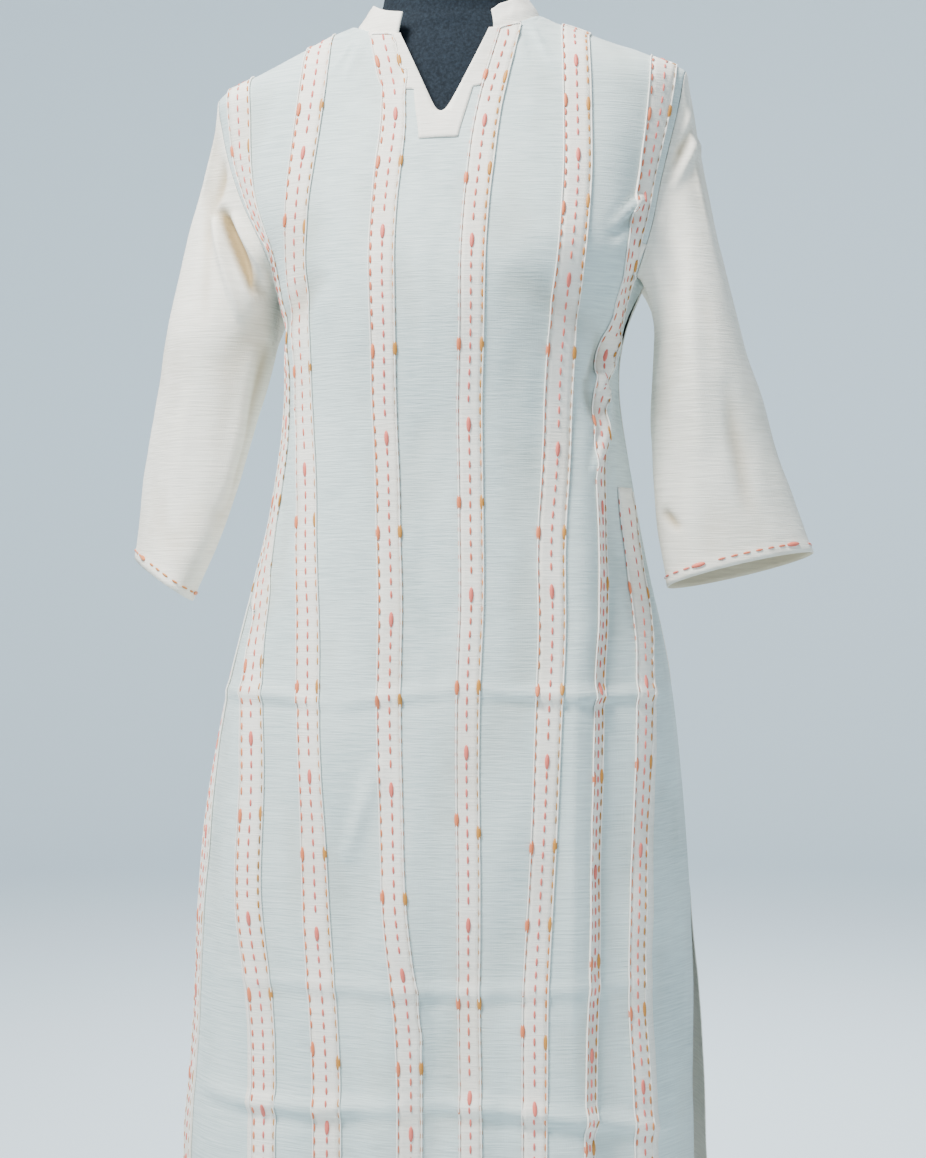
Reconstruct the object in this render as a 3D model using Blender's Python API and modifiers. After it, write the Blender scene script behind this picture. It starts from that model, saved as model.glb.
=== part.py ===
"""A kurta tunic worn by a limbless dress form on a round stand.

Units are metres and +Z is up. The front of the tunic faces -Y, and +X is on the right of a person
who looks at the front. The origin is on the floor, under the middle of the stand's base.
Every cloth piece is a wall between two layers of the same points. The body's points come from
horizontal sections, and what is sewn on the front is made from the front's points, moved out.
"""

from collections import namedtuple
from math import asin, cos, exp, pi, radians, sin

import bmesh
import bpy
from mathutils import Vector

COLLECTION = "kurta_on_dress_form"

# Walls, and the gaps that part them.
WALL = 0.0016
STRIP_WALL = 0.0012
SEAM_GAP = 0.0003
SLEEVE_GAP = 0.0008
SIDE_GAP = 0.0002
COLLAR_GAP = 0.0005
MERGE = 0.00001
SHARP_ANGLE = radians(40)

# Heights above the floor.
HEM_Z = 0.27
SLIT_Z = 0.70
UNDERARM_Z = 1.20
FRONT_NECK_Z = 1.40
NECK_Z = 1.42
BACK_NECK_Z = 1.428

# Neck, shoulders and armholes. The neck point is where collar and shoulder seam meet.
NECK_X = 0.079
SHOULDER_X = 0.195
SHOULDER_FALL = 0.42
SHOULDER_TILT = 0.025
TILT_FROM, TILT_TO = 1.05, 1.30
SHOULDER_Z = NECK_Z - SHOULDER_FALL * (SHOULDER_X - NECK_X)

# The front's neck edge stays low beside the slit and rises late towards the shoulder seam.
NECK_RISE_POWER = 3
NECK_COLUMN_GAP = 0.0035

# The slit at the front of the neck, and the facing round it, which is narrower below the slit.
SLOT_TOP_X = 0.036
SLOT_FOOT_X = 0.004
FACING_WIDE = 0.020
FACING_FOOT_WIDE = 0.011
FACING_FROM, FACING_TO = 1.310, 1.335
FACING_CLEAR = 0.002

# The collar leans in by a share of its distance from the middle, and its front ends lean less.
COLLAR_HIGH = 0.019
COLLAR_LEAN = 0.175
COLLAR_LEAN_COLUMNS = 4
COLLAR_END_SHARE = 0.90

# Rows of points up the body, and up the chest above the underarm.
FRONT_ROWS = 28
BACK_ROWS = 20
CHEST_ROWS = 11
SLOT_FOOT_ROW = 5

# The roundness of a section, 2 for an ellipse and more for a flatter front.
SECTION_POWER = 2.3

# The least turn between neighbouring columns, over the front and on its flanks.
INNER_STEP = radians(0.15)
OUTER_STEP = radians(1.2)

# Sections of the body. The sway moves a whole section, and aside moves the front's middle alone.
Section = namedtuple("Section", "height half_width front back sway aside")
BODY = (
    Section(0.27, 0.218, 0.134, 0.128, -0.009, 0.013),
    Section(0.48, 0.215, 0.132, 0.125, -0.010, 0.013),
    Section(0.59, 0.209, 0.130, 0.122, -0.007, 0.011),
    Section(0.69, 0.206, 0.128, 0.120, -0.008, 0.010),
    Section(0.77, 0.199, 0.126, 0.117, -0.006, 0.008),
    Section(0.87, 0.186, 0.121, 0.112, -0.003, 0.004),
    Section(0.94, 0.169, 0.117, 0.103, 0.001, 0.001),
    Section(0.99, 0.157, 0.115, 0.096, 0.001, -0.001),
    Section(1.05, 0.147, 0.114, 0.089, 0.002, -0.002),
    Section(1.10, 0.139, 0.116, 0.086, 0.000, -0.001),
    Section(1.15, 0.139, 0.122, 0.088, 0.000, 0.001),
    Section(1.19, 0.142, 0.125, 0.092, 0.000, 0.001),
    Section(1.22, 0.151, 0.121, 0.096, 0.000, 0.001),
    Section(1.26, 0.173, 0.111, 0.099, 0.000, 0.002),
    Section(1.30, 0.188, 0.098, 0.098, 0.000, 0.004),
    Section(1.34, 0.196, 0.085, 0.094, 0.000, 0.005),
    Section(1.37, 0.195, 0.076, 0.086, 0.000, 0.005),
    Section(1.40, 0.124, 0.068, 0.074, 0.000, 0.005),
    Section(1.43, 0.053, 0.062, 0.064, 0.000, 0.005),
)

# Under the right arm the cloth stands out to the side, as a wing.
WING = 0.025
WING_Z = 1.222
WING_HIGH = 0.034

# Where the armhole's edge lies to the side of the middle, on the left and on the right.
Armhole = namedtuple("Armhole", "height left right")
ARMHOLE = (
    Armhole(1.20, 0.132, 0.155),
    Armhole(1.22, 0.142, 0.164),
    Armhole(1.24, 0.151, 0.170),
    Armhole(1.27, 0.167, 0.174),
    Armhole(1.30, 0.179, 0.181),
    Armhole(1.33, 0.188, 0.188),
    Armhole(1.37, 0.195, 0.195),
)

# How near the armhole the strip beside it may come with its outer and with its inner edge.
OUTER_EDGE_CLEAR = 0.003
INNER_EDGE_CLEAR = 0.009

# The middle of each strip to the side of the centre front, on the left and on the right.
Strips = namedtuple("Strips", "height l4 l3 l2 l1 r1 r2 r3 r4")
STRIPS = (
    Strips(0.27, 0.209, 0.131, 0.083, 0.015, 0.033, 0.085, 0.129, 0.176),
    Strips(0.50, 0.207, 0.131, 0.081, 0.015, 0.032, 0.084, 0.128, 0.174),
    Strips(0.62, 0.199, 0.135, 0.085, 0.018, 0.029, 0.083, 0.131, 0.167),
    Strips(0.70, 0.193, 0.143, 0.090, 0.026, 0.031, 0.088, 0.134, 0.168),
    Strips(0.80, 0.189, 0.143, 0.095, 0.030, 0.029, 0.092, 0.133, 0.169),
    Strips(0.90, 0.180, 0.147, 0.100, 0.032, 0.030, 0.094, 0.134, 0.166),
    Strips(0.98, 0.162, 0.147, 0.104, 0.032, 0.032, 0.092, 0.132, 0.156),
    Strips(1.06, 0.144, 0.134, 0.107, 0.034, 0.031, 0.096, 0.125, 0.143),
    Strips(1.14, 0.138, 0.128, 0.110, 0.036, 0.032, 0.100, 0.131, 0.138),
    Strips(1.22, 0.149, 0.144, 0.116, 0.038, 0.033, 0.110, 0.156, 0.168),
    Strips(1.28, 0.184, 0.166, 0.112, 0.038, 0.034, 0.112, 0.171, 0.184),
    Strips(1.34, 0.194, 0.171, 0.106, 0.037, 0.038, 0.109, 0.178, 0.194),
    Strips(1.40, 0.200, 0.176, 0.102, 0.050, 0.053, 0.106, 0.179, 0.200),
)
STRIP_HALF = 0.0115

# Below the arms the outer strips lie on folded cloth that turns away, and cover less to the side.
LOW_HALF = {"l3": 0.0085, "l4": 0.0050, "r3": 0.0050, "r4": 0.0070}
LOW_HALF_TO = 1.30
OUTER_STRIP_TOP = 1.02

# Soft folds that hang in the cloth: a ridge has a depth above zero and a valley one below.
Fold = namedtuple("Fold", "across top half_width depth")
FRONT_FOLDS = (
    Fold(-0.152, 0.98, 0.016, 0.006),
    Fold(-0.124, 0.96, 0.018, -0.007),
    Fold(-0.062, 0.84, 0.020, -0.007),
    Fold(-0.034, 0.80, 0.018, 0.004),
    Fold(0.008, 0.76, 0.018, -0.007),
    Fold(0.060, 0.74, 0.016, -0.005),
    Fold(0.119, 1.18, 0.014, 0.006),
    Fold(0.142, 1.12, 0.014, -0.006),
)
BACK_FOLDS = (
    Fold(-0.140, 0.98, 0.024, -0.008),
    Fold(-0.095, 0.92, 0.024, 0.006),
    Fold(-0.040, 0.96, 0.026, -0.008),
    Fold(0.020, 0.90, 0.024, 0.006),
    Fold(0.070, 0.96, 0.026, -0.008),
    Fold(0.125, 0.94, 0.024, 0.006),
)
FOLD_FADE = 0.14
FOLD_EDGE = 0.3

# How far the slits open: the angle that each edge draws back by, and how far the back stands out.
SLIT_FADE = 0.16
FRONT_DRAW = radians(10)
BACK_DRAW = radians(4)
BACK_FLARE = 0.006

# Sleeve sections below the cap. The inner side of a sleeve leans forward by lean.
Sleeve = namedtuple("Sleeve", "height middle half_wide half_deep lean drop")
SLEEVES = {
    -1: (
        Sleeve(1.155, 0.199, 0.048, 0.050, 0.000, 0.004),
        Sleeve(1.105, 0.210, 0.0455, 0.045, 0.010, 0.008),
        Sleeve(1.060, 0.2205, 0.0445, 0.042, 0.018, 0.012),
        Sleeve(1.020, 0.2305, 0.0425, 0.040, 0.026, 0.015),
        Sleeve(0.985, 0.241, 0.037, 0.040, 0.032, 0.017),
        Sleeve(0.960, 0.2485, 0.0325, 0.040, 0.035, 0.017),
    ),
    1: (
        Sleeve(1.155, 0.203, 0.0355, 0.050, 0.000, 0.000),
        Sleeve(1.105, 0.211, 0.046, 0.042, 0.000, 0.003),
        Sleeve(1.060, 0.218, 0.050, 0.036, 0.004, 0.007),
        Sleeve(1.020, 0.226, 0.056, 0.033, 0.008, 0.010),
        Sleeve(0.985, 0.233, 0.058, 0.031, 0.010, 0.013),
        Sleeve(0.967, 0.238, 0.059, 0.030, 0.010, 0.014),
    ),
}
CUFF_BACK_DROP = 0.005
CAP_ROWS = 6
ARM_ROWS = 7

# How a sleeve leaves the armhole: outwards at the crown, where it soon turns down, and under the arm.
CAP_REACH = {-1: 0.020, 1: 0.012}
CROWN_DROP = 0.3
UNDERARM_REACH = 0.007
UNDERARM_DIP = 0.15

# The dress form stands inside the cloth and carries it at the shoulders.
FORM_UNDER_CREST = 0.0028
FORM_SHOULDER_X = 0.182
FORM_POINTS = 28
FORM_POWER = 2.0
FORM_FINE_FROM = 0.93
CREST_ROWS = 6
CREST_TOP_GAP = 0.002
Form = namedtuple("Form", "height half_width front back")
FORM = (
    Form(0.74, 0.146, 0.092, 0.092),
    Form(0.75, 0.153, 0.098, 0.098),
    Form(0.79, 0.160, 0.104, 0.104),
    Form(0.85, 0.160, 0.105, 0.105),
    Form(0.93, 0.146, 0.099, 0.094),
    Form(1.02, 0.121, 0.090, 0.075),
    Form(1.10, 0.122, 0.101, 0.073),
    Form(1.17, 0.130, 0.117, 0.079),
    Form(1.22, 0.138, 0.110, 0.084),
    Form(1.27, 0.160, 0.096, 0.086),
    Form(1.31, 0.174, 0.083, 0.085),
    Form(1.35, 0.181, 0.070, 0.078),
    Form(1.38, 0.160, 0.062, 0.070),
    Form(1.41, 0.095, 0.053, 0.058),
)
NECK = (
    Form(1.420, 0.068, 0.051, 0.050),
    Form(1.430, 0.060, 0.050, 0.049),
    Form(1.445, 0.056, 0.050, 0.048),
    Form(1.475, 0.055, 0.050, 0.048),
    Form(1.482, 0.052, 0.047, 0.045),
    Form(1.485, 0.046, 0.041, 0.039),
)

# The stand.
BASE_RADIUS = 0.18
BASE_HIGH = 0.014
BASE_FALL = 0.002
BASE_EDGE = 0.005
BASE_STEPS = 48
POLE_RADIUS = 0.016
POLE_SIDES = 24

COLOURS = {
    "mint cotton": ((0.60, 0.67, 0.65), 0.85),
    "cream cotton": ((0.75, 0.72, 0.65), 0.85),
    "beige cotton": ((0.64, 0.62, 0.53), 0.88),
    "navy jersey": ((0.03, 0.045, 0.08), 0.90),
    "satin steel": ((0.45, 0.45, 0.46), 0.35),
}


def eased(value, start, end):
    """0 before start, 1 after end, and a smooth rise between them."""
    t = min(max((value - start) / (end - start), 0.0), 1.0)
    return t * t * (3 - 2 * t)


def read(table, column, height):
    """One column of a table at a height, on a smooth curve through its rows."""
    last = len(table) - 1
    height = min(max(height, table[0].height), table[last].height)
    k = 0
    while k < last - 1 and table[k + 1].height < height:
        k += 1
    rows = [table[max(k - 1, 0)], table[k], table[k + 1], table[min(k + 2, last)]]
    before, start, end, after = (getattr(row, column) for row in rows)
    span = rows[2].height - rows[1].height
    t = (height - rows[1].height) / span
    rise_in = span * (end - before) / (rows[2].height - rows[0].height)
    rise_out = span * (after - start) / (rows[3].height - rows[1].height)
    from_start = (1 + 2 * t) * (1 - t) ** 2 * start + t * (1 - t) ** 2 * rise_in
    from_end = t * t * (3 - 2 * t) * end - t * t * (1 - t) * rise_out
    return from_start + from_end


def placed(x, y, z):
    """A point of the body in the part's frame, with the skirt's sway and the shoulders' tilt."""
    lift = SHOULDER_TILT * x * eased(z, TILT_FROM, TILT_TO)
    return Vector((x + read(BODY, "sway", z), y, z + lift))


def half_width(side, z):
    """Half the body's width, which follows the shoulder seam above the shoulder's end."""
    if z > SHOULDER_Z:
        return NECK_X + (NECK_Z - z) / SHOULDER_FALL
    wing = WING * exp(-((z - WING_Z) / WING_HIGH) ** 2) if side > 0 else 0.0
    return read(BODY, "half_width", z) + wing


def armhole_x(side, z):
    """How far to the side the armhole's edge lies at a height."""
    return read(ARMHOLE, "left" if side < 0 else "right", z)


def angle_at(side, x, z):
    """The turn from the middle, at which a section reaches x."""
    share = min(max(x / half_width(side, z), 0.0), 1.0)
    return asin(share ** (SECTION_POWER / 2))


def top_at(x, at_back):
    """The height at which the front or the back ends above x."""
    if x >= NECK_X:
        return NECK_Z - SHOULDER_FALL * (x - NECK_X)
    if at_back:
        return BACK_NECK_Z - (BACK_NECK_Z - NECK_Z) * (x / NECK_X) ** 2
    share = max((x - SLOT_TOP_X) / (NECK_X - SLOT_TOP_X), 0.0)
    return FRONT_NECK_Z + (NECK_Z - FRONT_NECK_Z) * share ** NECK_RISE_POWER


def folded(x, z, folds):
    """How far the hanging folds move the cloth outwards."""
    moved = 0.0
    for fold in folds:
        hang = 1 - eased(z, fold.top - FOLD_FADE, fold.top)
        moved += fold.depth * hang * exp(-((x - fold.across) / fold.half_width) ** 2)
    return moved


def section_point(side, angle, z, facing, grow=0.0):
    """A point of the body at a turn from the middle of the front (facing -1) or back (facing 1)."""
    power = 2 / SECTION_POWER
    depth = read(BODY, "front" if facing < 0 else "back", z)
    share = sin(angle) ** power
    x = (half_width(side, z) + grow) * share
    y = depth * max(cos(angle), 0.0) ** power
    folds = FRONT_FOLDS if facing < 0 else BACK_FOLDS
    moved = folded(side * x, z, folds) * min(1.0, cos(angle) / FOLD_EDGE)
    x += moved * sin(angle)
    y += moved * cos(angle)
    y = max(y, SIDE_GAP)
    aside = read(BODY, "aside", z) * (1 - share * share) ** 2 if facing < 0 else 0.0
    return placed(side * x + aside, facing * y, z)


def spaced(angles):
    """Angles kept in order and a small step apart, wider on the flanks, with the last one held."""
    kept = list(angles)
    steps = [INNER_STEP if k < OUT_2 else OUTER_STEP for k in range(len(kept))]
    for k in range(1, len(kept)):
        kept[k] = max(kept[k], kept[k - 1] + steps[k])
    kept[-1] = angles[-1]
    for k in range(len(kept) - 2, -1, -1):
        kept[k] = min(kept[k], kept[k + 1] - steps[k + 1])
    return kept


def slot_edge(z):
    """Half the width of the neck's slit at a height."""
    foot = chest_height(FRONT_NECK_Z, SLOT_FOOT_ROW)
    share = min((z - foot) / (FRONT_NECK_Z - foot), 1.0)
    return SLOT_FOOT_X + (SLOT_TOP_X - SLOT_FOOT_X) * share


def chest_height(top, row):
    """The height of a chest row in a column that ends at top: the rows draw together there."""
    return UNDERARM_Z + (top - UNDERARM_Z) * sin(pi / 2 * row / CHEST_ROWS)


# The front's columns on one side of the centre, from the centre to the side seam.
SLOT, FACING, IN_1, OUT_1, GAP_A, GAP_B, IN_2, OUT_2 = range(1, 9)
GAP_2, IN_3, OUT_3, EDGE_3, IN_4, OUT_4, SEAM = range(9, 16)
FRONT_CHEST = range(1, EDGE_3 + 1)
STRIP_COLUMNS = {1: (IN_1, OUT_1), 2: (IN_2, OUT_2), 3: (IN_3, OUT_3), 4: (IN_4, OUT_4)}


def front_columns(side, z):
    """How far to the side each of the front's columns lies at a height, up to the armhole."""
    low_part = 1 - eased(z, UNDERARM_Z, LOW_HALF_TO)
    x = {0: 0.0}
    for n, (inner, outer) in STRIP_COLUMNS.items():
        name = f"l{n}" if side < 0 else f"r{n}"
        middle = read(STRIPS, name, z)
        half = STRIP_HALF + (LOW_HALF.get(name, STRIP_HALF) - STRIP_HALF) * low_part
        x[inner] = middle - half
        x[outer] = middle + half
    if z > chest_height(FRONT_NECK_Z, SLOT_FOOT_ROW):
        x[SLOT] = slot_edge(z)
    else:
        x[SLOT] = min(SLOT_FOOT_X, x[IN_1] / 3)
    wide = FACING_FOOT_WIDE + (FACING_WIDE - FACING_FOOT_WIDE) * eased(z, FACING_FROM, FACING_TO)
    x[FACING] = min(x[SLOT] + wide, x[IN_1] - min(FACING_CLEAR, x[IN_1] / 3))
    near_neck = eased(z, UNDERARM_Z, FRONT_NECK_Z)
    third = (x[IN_2] - x[OUT_1]) / 3
    x[GAP_A] = (x[OUT_1] + third) * (1 - near_neck) + (NECK_X - NECK_COLUMN_GAP) * near_neck
    x[GAP_B] = (x[OUT_1] + 2 * third) * (1 - near_neck) + NECK_X * near_neck
    x[GAP_2] = (x[OUT_2] + x[IN_3]) / 2
    return x


def front_grid():
    """The front's points, keyed by row and by column, which is negative on the left."""
    points = {}
    heights = [HEM_Z + (UNDERARM_Z - HEM_Z) * row / FRONT_ROWS for row in range(FRONT_ROWS + 1)]
    for side in (-1, 1):
        for row, z in enumerate(heights):
            x = front_columns(side, z)
            draw = FRONT_DRAW * (1 - eased(z, SLIT_Z - SLIT_FADE, SLIT_Z))
            turns = [angle_at(side, x[column], z) for column in range(1, EDGE_3)]
            inner_4, outer_4 = (angle_at(side, x[column], z) for column in (IN_4, OUT_4))
            edge_3 = angle_at(side, armhole_x(side, z), z)
            if z < UNDERARM_Z:
                edge_3 = (turns[-1] + inner_4) / 2
            turns = spaced(turns + [edge_3, inner_4, outer_4, pi / 2 - draw])
            for column, turn in enumerate(turns, 1):
                points[row, side * column] = section_point(side, turn, z, -1)
            points[row, 0] = section_point(1, 0.0, z, -1)
        for step in range(1, CHEST_ROWS + 1):
            row = FRONT_ROWS + step
            for column in FRONT_CHEST:
                points[row, side * column] = chest_point(side, column, step)
    for step in range(1, SLOT_FOOT_ROW + 1):
        z = chest_height(FRONT_NECK_Z, step)
        points[FRONT_ROWS + step, 0] = section_point(1, 0.0, z, -1)
    return points


def chest_point(side, column, step):
    """A point of the front above the underarm, in a column that runs to the neck or shoulder."""
    if column == EDGE_3:
        z = chest_height(SHOULDER_Z, step)
        return section_point(side, angle_at(side, armhole_x(side, z), z), z, -1)
    top_x = front_columns(side, NECK_Z)[column]
    z = chest_height(top_at(top_x, at_back=False), step)
    x = front_columns(side, z)[column]
    if column == OUT_3:
        x = min(x, armhole_x(side, z) - OUTER_EDGE_CLEAR)
    if column == IN_3:
        x = min(x, armhole_x(side, z) - INNER_EDGE_CLEAR)
    if step == CHEST_ROWS:
        x = top_x
    return section_point(side, angle_at(side, x, z), z, -1)


# The back's columns on one side: how far across each ends at the top, and its turn at the hem.
BACK_TOPS = (0.0, 0.026, 0.050, 0.068, NECK_X, 0.117, 0.157, SHOULDER_X)
BACK_TURNS = tuple(radians(turn) for turn in (0, 8, 16, 23, 30, 42, 54, 64, 73, 82, 90))
BACK_NECK = 4
BACK_EDGE = 7


def back_grid():
    """The back's points, keyed as the front's are."""
    points = {}
    for side in (-1, 1):
        for row in range(BACK_ROWS + 1):
            z = HEM_Z + (UNDERARM_Z - HEM_Z) * row / BACK_ROWS
            open_part = 1 - eased(z, SLIT_Z - SLIT_FADE, SLIT_Z)
            for column, turn in enumerate(BACK_TURNS):
                turn *= 1 - open_part * BACK_DRAW / (pi / 2)
                points[row, side * column] = section_point(side, turn, z, 1, open_part * BACK_FLARE)
        for step in range(1, CHEST_ROWS + 1):
            for column, top_x in enumerate(BACK_TOPS):
                z = chest_height(top_at(top_x, at_back=True), step)
                low_x = half_width(side, UNDERARM_Z) * sin(BACK_TURNS[column]) ** (2 / SECTION_POWER)
                x = low_x + (top_x - low_x) * step / CHEST_ROWS
                if column == BACK_EDGE:
                    x = max(x, armhole_x(side, z))
                turn = angle_at(side, x, z)
                points[BACK_ROWS + step, side * column] = section_point(side, turn, z, 1)
    return points


def grid_cells(points, flip):
    """The cells between neighbouring points that are all there, seen from outside."""
    cells = []
    for row, column in points:
        cell = ((row, column), (row, column + 1), (row + 1, column + 1), (row + 1, column))
        if all(corner in points for corner in cell):
            cells.append(cell[::-1] if flip else cell)
    return cells


def normals_of(points, cells):
    """The outward direction at each point, from the cells that share it."""
    total = {key: Vector() for key in points}
    for cell in cells:
        a, b, c, d = (points[key] for key in cell)
        facing = (c - a).cross(d - b)
        for key in cell:
            total[key] += facing
    return {key: normal.normalized() for key, normal in total.items()}


def moved(points, normals, distance):
    """The points moved along their normals, outwards where the distance is above zero."""
    return {key: point + normals[key] * distance for key, point in points.items()}


def material(name):
    """The plain material of a piece."""
    found = bpy.data.materials.get(name)
    if found:
        return found
    made = bpy.data.materials.new(name)
    made.use_nodes = True
    shader = made.node_tree.nodes["Principled BSDF"]
    colour, roughness = COLOURS[name]
    shader.inputs["Base Color"].default_value = (*colour, 1.0)
    shader.inputs["Roughness"].default_value = roughness
    shader.inputs["Metallic"].default_value = 1.0 if name == "satin steel" else 0.0
    return made


def keep(mesh_or_object, name, finish, collection):
    """Name an object, give it its finish and put it in the part's collection."""
    made = mesh_or_object
    if isinstance(made, bpy.types.Mesh):
        made = bpy.data.objects.new(name, made)
        collection.objects.link(made)
    made.name = name
    made.data.materials.clear()
    made.data.materials.append(material(finish))
    made.data.shade_smooth()
    made.data.set_sharp_from_angle(angle=SHARP_ANGLE)
    return made


def wall(name, outer, inner, cells, finish, collection):
    """A closed wall between two layers of points, with a rim wherever a cell has no neighbour."""
    mesh = bmesh.new()
    used = {key for cell in cells for key in cell}
    out = {key: mesh.verts.new(outer[key]) for key in sorted(used)}
    into = {key: mesh.verts.new(inner[key]) for key in sorted(used)}
    edges = {(cell[k], cell[(k + 1) % 4]) for cell in cells for k in range(4)}
    for cell in cells:
        mesh.faces.new([out[key] for key in cell])
        mesh.faces.new([into[cell[k]] for k in (0, 3, 2, 1)])
    for start, end in sorted(edges):
        if (end, start) not in edges:
            mesh.faces.new((out[end], out[start], into[start], into[end]))
    made = bpy.data.meshes.new(name)
    mesh.to_mesh(made)
    mesh.free()
    return keep(made, name, finish, collection)


def crest_normal(side):
    """The direction that both walls share along a shoulder seam."""
    return Vector((side * SHOULDER_FALL, 0.0, 1.0)).normalized()


def seam_normals(normals, side_column, body_rows, edge_column, neck_column):
    """Give the side, shoulder and neck seams the directions that the pieces there share."""
    top = body_rows + CHEST_ROWS
    for side in (-1, 1):
        for row in range(body_rows + 1):
            normals[row, side * side_column] = Vector((side, 0.0, 0.0))
        for column in range(neck_column, edge_column + 1):
            normals[top, side * column] = crest_normal(side)
        for column in range(neck_column):
            if (top, side * column) in normals:
                level = normals[top, side * column] * 1.0
                level.z = 0.0
                normals[top, side * column] = level.normalized()


def armhole_keys(side_column, body_rows, edge_column):
    """The armhole's points from the underarm to the shoulder's end, each with its inner neighbours."""
    keys = []
    for column in range(side_column, edge_column, -1):
        keys.append(((body_rows, column), [(body_rows - 1, column)]))
    corner = (body_rows, edge_column)
    keys.append((corner, [(body_rows - 1, edge_column), (body_rows, edge_column - 1)]))
    for step in range(1, CHEST_ROWS + 1):
        row = body_rows + step
        keys.append(((row, edge_column), [(row, edge_column - 1)]))
    return keys


def armhole_ring(side, front, back):
    """The armhole as seen by the sleeve: point, direction away from the body, and owner's key."""
    ring = []
    front_keys = armhole_keys(SEAM, FRONT_ROWS, EDGE_3)
    back_keys = armhole_keys(len(BACK_TURNS) - 1, BACK_ROWS, BACK_EDGE)
    for grid, keys in ((front, front_keys), (back, back_keys[-2:0:-1])):
        for (row, column), inner in keys:
            key = (row, side * column)
            point = grid[key]
            away = Vector()
            for next_row, next_column in inner:
                away += (point - grid[next_row, side * next_column]).normalized()
            ring.append((point, away.normalized(), grid is front, key))
    return ring


def sleeve_section(side, row, turn):
    """A point on one of a sleeve's sections: turn 0 faces the body and a quarter faces front."""
    across = cos(turn)
    deep = sin(turn)
    x = row.middle - row.half_wide * across
    y = -row.half_deep * deep - row.lean * across
    z = row.height - row.drop * across + CUFF_BACK_DROP * deep
    return Vector((side * x, y, z))


def sleeve_grid(side, ring):
    """A sleeve's points from the armhole to the cuff, keyed by row and by place on the ring."""
    points = {}
    table = SLEEVES[side]
    count = len(ring)
    rising = table[::-1]
    for k, (edge, away, _, _) in enumerate(ring):
        turn = 2 * pi * k / count
        cap = sleeve_section(side, table[0], turn)
        lifted = (1 - cos(turn)) / 2
        start = edge + away * SLEEVE_GAP
        outward = Vector((side, 0.0, -UNDERARM_DIP))
        leave = away * lifted * CAP_REACH[side] + outward * (1 - lifted) * UNDERARM_REACH
        knee = start + leave
        knee.z -= CROWN_DROP * lifted * lifted * (start.z - cap.z)
        for row in range(CAP_ROWS + 1):
            t = row / CAP_ROWS
            points[row, k] = start * (1 - t) ** 2 + knee * 2 * t * (1 - t) + cap * t * t
        for step in range(1, ARM_ROWS + 1):
            z = table[0].height + (table[-1].height - table[0].height) * step / ARM_ROWS
            values = [read(rising, column, z) for column in Sleeve._fields[1:]]
            points[CAP_ROWS + step, k] = sleeve_section(side, Sleeve(z, *values), turn)
    return points


def ring_cells(rows, count, flip):
    """The cells of a tube whose rows run downwards."""
    cells = []
    for row in range(rows):
        for k in range(count):
            after = (k + 1) % count
            cell = ((row, k), (row + 1, k), (row + 1, after), (row, after))
            cells.append(cell[::-1] if flip else cell)
    return cells


def build_cloth(collection):
    """The front, the back and both sleeves, then what is sewn on the front, then the collar."""
    front = front_grid()
    front_cells = grid_cells(front, flip=False)
    slot_rows = range(FRONT_ROWS + SLOT_FOOT_ROW, FRONT_ROWS + CHEST_ROWS)
    front_cells = [
        cell for cell in front_cells
        if not (cell[0][0] in slot_rows and cell[0][1] in (-SLOT, 0))
    ]
    back = back_grid()
    back_cells = grid_cells(back, flip=True)
    front_normals = normals_of(front, front_cells)
    back_normals = normals_of(back, back_cells)
    seam_normals(front_normals, SEAM, FRONT_ROWS, EDGE_3, GAP_B)
    seam_normals(back_normals, len(BACK_TURNS) - 1, BACK_ROWS, BACK_EDGE, BACK_NECK)
    for side, name in ((-1, "sleeve_left"), (1, "sleeve_right")):
        build_sleeve(side, name, front, back, front_normals, back_normals, collection)
    wall("front", front, moved(front, front_normals, -WALL), front_cells, "mint cotton", collection)
    wall("back", back, moved(back, back_normals, -WALL), back_cells, "cream cotton", collection)
    build_strips(front, front_normals, front_cells, collection)
    build_facing(front, front_normals, front_cells, collection)
    build_collar(front, back, front_normals, back_normals, collection)


def build_sleeve(side, name, front, back, front_normals, back_normals, collection):
    """A sleeve, which shares the body's wall direction wherever the seam is a ridge."""
    ring = armhole_ring(side, front, back)
    points = sleeve_grid(side, ring)
    cells = ring_cells(CAP_ROWS + ARM_ROWS, len(ring), flip=side < 0)
    normals = normals_of(points, cells)
    for k, (_, _, in_front, key) in enumerate(ring):
        owner = front_normals if in_front else back_normals
        leaving = points[1, k] - points[0, k]
        if leaving.dot(owner[key]) < 0:
            shared = (owner[key] + normals[0, k]).normalized()
            owner[key] = shared
            normals[0, k] = shared
    tip_row = FRONT_ROWS + CHEST_ROWS
    back_normals[BACK_ROWS + CHEST_ROWS, side * BACK_EDGE] = front_normals[tip_row, side * EDGE_3]
    wall(name, points, moved(points, normals, -WALL), cells, "beige cotton", collection)


def lay_on(name, front, normals, cells, collection):
    """A piece sewn on the front, made from the front's own points."""
    outer = moved(front, normals, SEAM_GAP + STRIP_WALL)
    inner = moved(front, normals, SEAM_GAP)
    wall(name, outer, inner, cells, "cream cotton", collection)


def build_strips(front, normals, cells, collection):
    """The eight strips, numbered from left to right."""
    top_row = round(FRONT_ROWS * (OUTER_STRIP_TOP - HEM_Z) / (UNDERARM_Z - HEM_Z))
    for side in (-1, 1):
        for n, (inner, outer) in STRIP_COLUMNS.items():
            span = range(inner, outer) if side > 0 else range(-outer, -inner)
            rows = range(top_row) if n == 4 else range(FRONT_ROWS + CHEST_ROWS)
            chosen = [cell for cell in cells if cell[0][0] in rows and cell[0][1] in span]
            number = 4 + n if side > 0 else 5 - n
            lay_on(f"strip_{number}", front, normals, chosen, collection)


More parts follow.
